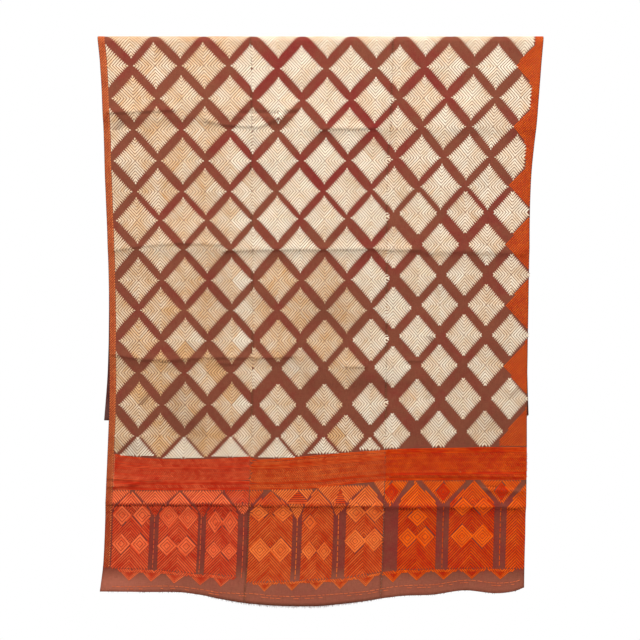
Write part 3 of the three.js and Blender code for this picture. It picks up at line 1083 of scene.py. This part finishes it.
def lay_arrowheads(floss, places, levels, parts, sides, holes, step):
    """Slanting stripes that meet in the middle, in parts that each have a tone and a limit."""
    left, middle, right = places
    for tone, limit in parts:
        for box, side, slope in (
            ((left, middle, *levels), (1, 0, middle), -1.0),
            ((middle, right, *levels), (-1, 0, -middle), 1.0),
        ):
            hatch(floss, box, sides + [side, limit], holes, slope, step, tone)


def darn_bay(floss, number, within):
    """A bay's field of nested arrowheads, with light diamonds let into it, painted lighter as painted sheen.
    """
    sides = bay_sides(number) + within
    names = ("left", "right", "top", "head", "head_to", "field")
    left, right, top, head, head_to, field = bay(number, *names)
    holes = []
    for where, across, run, wide, tall, tone in rows_of(SHEEN_DIAMONDS):
        if where == number:
            holes.append(diamond_sides((across, run), (wide, tall)))
            ring_diamond(floss, (across, run), (wide, tall), tone, sides)
    middle = (left + right) / 2 if number < len(BAYS["left"]) - 1 else LAST_BAY_MIDDLE
    parts = ((head, (0, 1, head_to)), (field, (0, -1, -head_to)))
    lay_arrowheads(floss, (left, middle, right), (top, 1500), parts, sides, holes, CHEVRON_STEP)


# The fills between the arches, from the one at the left selvedge on.
SPANDRELS = {
    "tone": [0.9, 0.85, 0.85, 0.35, 0.85, 0.85, 0.75, 0.7, 0.65],
    "capital": [0.5, 0.2, 0.2, 0.8, 0.85, 0.45, 0.7, 0.7, 0.6],
    "core": ["none", "none", "none", "none", "triangle", "triangle", "diamond", "diamond", "diamond"],
    "core_wide": [0, 0, 0, 0, 32, 15, 21, 21, 21],
}
OUTLINE = 4.2
CAPITAL_TOP = 1274


def triangle_sides(middle, apex, base, half):
    """A triangle that stands on its base, as three straight sides."""
    steep = (base - apex) / half
    return [(steep, -1, steep * middle - apex), (-steep, -1, -steep * middle - apex), (0, 1, base)]


def darn_spandrel(floss, number, within):
    """The fill between two arches: light slanting stripes, some about a dark diamond or triangle."""
    tone, capital, core, wide = list(rows_of(SPANDRELS))[number + 1]
    names = ("left", "right", "peak", "top", "spring", "band_left", "band_right")
    _, right, peak, top, spring, _, band = bay(number, *names)
    if number < 0:
        right, peak, top, spring, band = STRIP_EDGE, STRIP_EDGE - 60, 1238, 1296, 0
    left, _, next_peak, next_top, next_spring, next_band, _ = bay(number + 1, *names)
    middle = max((right + band + left - next_band) / 2, STRIP_EDGE + 2)
    ceiling = straight(BORDER_TOP, middle) + 1.5
    fall = (spring - top) / (right - peak)
    climb = (next_spring - next_top) / (next_peak - left)
    sides = [
        (0, -1, -ceiling), (-1, 0, -STRIP_EDGE),
        (-fall, 1, top - fall * (peak + band)),
        (climb, 1, next_top + climb * (next_peak - next_band)),
    ] + within
    holes = [bay_sides(number + 1, OUTLINE)]
    if number >= 0:
        holes.append(bay_sides(number, OUTLINE))
    if core == "diamond":
        ring_diamond(floss, (middle, ceiling + 29), (wide, 25), 0.0, sides)
        holes.append(diamond_sides((middle, ceiling + 29), (wide, 25)))
    if core == "triangle":
        inside = triangle_sides(middle, ceiling + 4, CAPITAL_TOP - 3, wide)
        box = (middle - wide, middle + wide, ceiling, CAPITAL_TOP + 1)
        hatch(floss, box, sides + inside, (), 0.0, 5.5, 0.1)
        holes.append(inside)
    parts = ((tone, (0, 1, CAPITAL_TOP - 2)), (capital, (0, -1, -CAPITAL_TOP)))
    levels = (ceiling, spring + 20)
    lay_arrowheads(floss, (peak - 5, middle, next_peak + 5), levels, parts, sides, holes, 8.0)


SHORT_FLOAT = 6.2
LONG_FLOAT = 34.0
PLAIN_BAND = {
    "tone": [0.3, 0.33, 0.27, 0.35, 0.25, 0.36, 0.3, 0.36, 0.4, 0.15, 0.32, 0.26],
    "slanted_left": [1, 1, 1, 0, 1, 1, 1, 1, 0, 0, 1, 0],
    "slanted_middle": [0, 1, 0, 0, 1, 1, 1, 1, 1, 0, 1, 0],
    "slanted_right": [0, 0, 1, 1, 1, 1, 1, 1, 1, 0, 1, 0],
}


def darn_plain_band(floss, name, start, end):
    """The close band under the lattice: rows of long level floats, and rows of short slanting ones."""
    edge = STRIP_EDGE if start == 0 else start + 0.2
    sides = between(edge, end - 0.2)
    rows = len(PLAIN_BAND["tone"])
    for row in range(rows):
        slanted = PLAIN_BAND["slanted_" + name][row]
        step = SHORT_FLOAT if slanted else LONG_FLOAT
        for line in (0.5,) if slanted else (0.25, 0.75):
            places = np.arange(edge - chance.uniform(0, step), end + step, step)
            foot = straight(LATTICE_FOOT, places) + 1.5
            tall = straight(BORDER_TOP, places) - foot
            levels = foot + tall * (row + line) / rows
            for k in range(len(places) - 1):
                half = tall[k] / rows / 2
                tone = PLAIN_BAND["tone"][row] + chance.normal(0, 0.09)
                if slanted:
                    lean = half * (0.95 if row % 2 else -0.95)
                    first = (places[k], levels[k] + lean)
                    last = (places[k] + 1.8 * half, levels[k] - lean)
                    floss.lay(first, last, 2.1, tone - 0.04, SIDEWAYS, sides, shortest=1.0)
                else:
                    first = (places[k], levels[k])
                    last = (places[k + 1] + 0.4, levels[k + 1])
                    floss.lay(first, last, half * 0.5, tone - 0.12, UPRIGHT, sides)


def darn_base(floss, start, end, within):
    """A slanted row that ties the bays, the triangles that hang from it, and the posts' middle lines."""
    for middle, wide, tall, row in rows_of(BASE_TEETH):
        if not start < middle < end:
            continue
        foot = border_foot(middle) + 1.5 + row
        lean = (border_foot(middle + 10) - border_foot(middle - 10)) / 20
        half = wide * tall / math.hypot(wide, tall) / 10 * 0.92
        for number, tone in enumerate((0.7, 0.5, 0.2, 0.05, 0.05)):
            share = 1 - (number + 0.5) / 5
            for east in (1, -1):
                first = (middle + east * wide * share, foot + east * wide * share * lean)
                last = (middle, foot + tall * share)
                shade = tone + chance.normal(0, 0.08)
                floss.lay(first, last, half, shade, ((1, lean), (0, 1)), within, shortest=1.0)
        across = middle - BASE_REACH
        while across < middle + BASE_REACH:
            level = border_foot(across) + 1.2
            begun, over = (0, row) if across < middle else (row, 0)
            first = (across, level + begun)
            last = (across + row, level + over)
            tone = 0.5 + chance.normal(0, 0.12)
            floss.lay(first, last, 2.2, tone, SIDEWAYS, within + [(-1, 0, -2)], shortest=1.0)
            across += BASE_STEP
    for spring, (line, tone, width) in zip(BAYS["spring"], rows_of(POSTS)):
        if start < line < end:
            top = spring + 4
            while top < border_foot(line) - 6:
                after = min(top + 8 + 5 * chance.random(), border_foot(line) - 4)
                shade = tone + chance.normal(0, 0.1)
                floss.lay((line, top), (line, after), width, shade, SIDEWAYS)
                top = after + 2.5 + 3 * chance.random()


def darn_back_band(floss, start, end):
    """The band that ends the work behind: plain level floats."""
    sides = between(start + 0.4, end - 0.4)
    for row in range(18):
        run = BACK_LATTICE_END - 5 - 4.1 * row
        for across in np.arange(start + 0.4 - chance.uniform(0, LONG_FLOAT), end, LONG_FLOAT):
            tone = 0.3 + chance.normal(0, 0.09)
            last = (across + LONG_FLOAT + 0.4, run)
            floss.lay((across, run), last, 1.9, tone, UPRIGHT, sides, soft=0.7)


def make_border(name, start, end, silk_used):
    """The border work of one loom width, in front and behind."""
    floss = Floss()
    darn_plain_band(floss, name, start, end)
    darn_back_band(floss, max(start, STRIP_EDGE), min(end, WIDTH - 20))
    within = between(start + 1, end - 1)
    if start == 0:
        darn_spandrel(floss, -1, within)
    for number in range(9):
        if BAYS["left"][number] < end and BAYS["right"][number] > start:
            darn_bay(floss, number, within)
        if number < 8 and BAYS["peak"][number] < end and BAYS["peak"][number + 1] > start:
            darn_spandrel(floss, number, within)
    darn_base(floss, start, end, within)
    return floss.make("border_" + name, [silk_used])


border_silks = (orange_left, orange_middle, orange_right)
for (name, start, end), silk_used in zip(rows_of(PANELS), border_silks):
    border = make_border(name, start, end, silk_used)


# ---------------------------------------------------------------------------------------------------
# The seams and mends. The widths are joined edge to edge by small slanting overcast stitches of brick red
# cotton. A few dark darns and knots hold worn places, and a pale tacking thread is left at the lower left.
MENDS = {
    "across": [416, 415, 417, 805, 806, 803, 804, 807, 21.5, 330, 1020, 800],
    "from": [70, 220, 268, 208, 248, 880, 898, 868, 1142, 872, 1186, 955],
    "to": [92, 262, 276, 246, 258, 940, 906, 874, 1228, 880, 1190, 962],
    "tone": [0.1, 0.15, 0.0, 0.15, 0.0, 0.12, 0.0, 0.05, 1.0, 0.1, 0.9, 0.1],
}


def thread(name, dark, light):
    """Twisted cotton sewing thread, dull, from a dark to a light shade, with painted shade in the grooves
    between its plies.
    """
    material, tree, shader, flat = new_material(name)
    turned = node(tree, "ShaderNodeMapping", None, Vector=flat, Rotation=(0, 0, 0.8), Scale=(2200, 500, 1))
    ply = node(tree, "ShaderNodeTexWave", None, Vector=turned.outputs[0], Scale=0.3, Distortion=2.0)
    height = ply.outputs["Fac"]
    colour = mixed(tree, read_tones(tree)[0], dark, light)
    # Painted shade: the grooves of the twist are darkened.
    colour = shaded(tree, colour, ranged(tree, height, 0.0, 1.0, 0.8, 1.1))
    finish(tree, shader, colour, 0.85, height, 0.4, 0.0003, 0.1)
    return material


def make_seams():
    """Overcast stitches up both seams, front and back, and the mends near them."""
    floss = Floss()
    for seam in SEAMS:
        run = -BACK_LENGTH - 6.0
        while run < hem_level(seam) - BEND_SPARE + 6:
            start = (seam - 2.0 + chance.normal(0, 0.2), run)
            end = (seam + 2.0 + chance.normal(0, 0.2), run + 1.8)
            floss.lay(start, end, 0.5, 0.35 + chance.normal(0, 0.1))
            run += 5.4 + chance.normal(0, 0.3)
    for across, run, last, tone in rows_of(MENDS):
        while run < last:
            start = (across + chance.normal(0, 0.7), run)
            end = (across + chance.normal(0, 0.7), min(run + 5.0, last))
            floss.lay(start, end, 0.9, tone + chance.normal(0, 0.03))
            run += 6.2
    return floss.make("seam_stitches", [seam_thread])


seam_thread = thread("seam_thread_dyed", linear(58, 22, 16), linear(214, 160, 110))
seams = make_seams()


# ---------------------------------------------------------------------------------------------------
# The hem. It is turned once and held by two broken lines of orange running stitch. Below them the edge
# is worn, and in the middle loose ends of the weft hang from it.
HEM_LINE_STEP = 6.5
HEM_LINES = {
    "across": [0, 120, 240, 340, 430, 610, 730, 860, 950, 1040, 1125, 1210],
    "up": [15, 15, 15, 17, 27, 28, 28, 26, 28, 28, 27, 26],
}


def stitch_level(across, line, up):
    """Where a line of running stitch lies, so far up from the hem."""
    return hem_level(across) - up + HEM_LINE_STEP * line + 1.2 * math.sin(across / 37)


def make_hem_stitches():
    """Two lines of running stitch. The lower one has lost more than half of its stitches."""
    floss = Floss()
    for line, across in enumerate((34.0, 60.0)):
        while across < 1196:
            long = chance.uniform(6, 15)
            if line == 0 or chance.random() < 0.45:
                up = straight(HEM_LINES, across)
                first = (across, stitch_level(across, line, up))
                last = (across + long, stitch_level(across + long, line, up))
                floss.lay(first, last, 0.9, chance.uniform(0.5, 1.0))
            across += long + chance.uniform(1.5, 5)
    return floss.make("hem_stitches", [orange_thread])


def make_hem_fray():
    """Loose ends of weft that hang below the worn middle of the hem."""
    floss = Floss()
    across = 6.0
    while across < 1204:
        worn = bump(across - 560, 210) + 0.12
        if chance.random() < worn:
            long = chance.uniform(1.5, 3.0) + 4.0 * worn * chance.random()
            start = (across, hem_level(across) - 1.5)
            end = (across + chance.normal(0, 1.2), hem_level(across) + long)
            floss.lay(start, end, 0.45, chance.random(), tapered=True)
        across += chance.uniform(1.2, 2.6)
    return floss.make("hem_fray", [fray_thread])


orange_thread = thread("hem_thread_orange", linear(170, 66, 36), linear(226, 116, 70))
fray_thread = thread("hem_thread_worn", linear(84, 40, 30), linear(140, 76, 56))
for hem_piece in (make_hem_stitches(), make_hem_fray()):
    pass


# ---------------------------------------------------------------------------------------------------
# The studio round it: a plain pale floor well below the hem, an even white surround, and soft lamps in
# front of the cloth, of which the left one is the stronger.
bpy.ops.object.select_all(action="DESELECT")
bpy.ops.mesh.primitive_plane_add(size=1, location=(0, 0, -1.9))
floor = bpy.context.object
floor.name = "floor"
floor.scale = (3.4, 2.9, 1)
bpy.ops.object.transform_apply(location=True, rotation=True, scale=True)
pale = bpy.data.materials.new("pale_floor")
pale.use_nodes = True
pale.node_tree.nodes["Principled BSDF"].inputs["Base Color"].default_value = linear(236, 235, 232)
pale.node_tree.nodes["Principled BSDF"].inputs["Roughness"].default_value = 0.9
floor.data.materials.append(pale)

world = bpy.data.worlds.new("surround")
bpy.context.scene.world = world
world.use_nodes = True
world_tree = world.node_tree
surround = world_tree.nodes["Background"]
seen = node(world_tree, "ShaderNodeLightPath")
plain = summed(world_tree, "MAXIMUM", seen.outputs["Is Camera Ray"], seen.outputs["Is Glossy Ray"])
plain = summed(world_tree, "MAXIMUM", plain, seen.outputs["Is Transmission Ray"])
strength = ranged(world_tree, plain, 0.0, 1.0, 0.37, 1.0)
world_tree.links.new(strength, surround.inputs["Strength"])
surround.inputs["Color"].default_value = (1, 1, 1, 1)

LAMPS = {
    "name": ["key", "fill", "top", "back"],
    "x": [-0.8, 2.2, 0.3, 0.6],
    "y": [-3.0, -2.8, -1.3, 2.8],
    "z": [2.2, 0.2, 2.6, 1.0],
    "size": [1.2, 2.0, 1.2, 2.0],
    "power": [132, 15, 56, 60],
}
for name, x, y, z, size, power in rows_of(LAMPS):
    bpy.ops.object.select_all(action="DESELECT")
    pitch = math.atan2(math.hypot(x, y), z + 0.7)
    turn = math.atan2(x, -y)
    bpy.ops.object.light_add(type="AREA", location=(x, y, z), rotation=(pitch, 0, turn))
    lamp = bpy.context.object
    lamp.name = name + "_lamp"
    lamp.data.size = size
    lamp.data.energy = power

bpy.context.scene.view_settings.view_transform = "Standard"
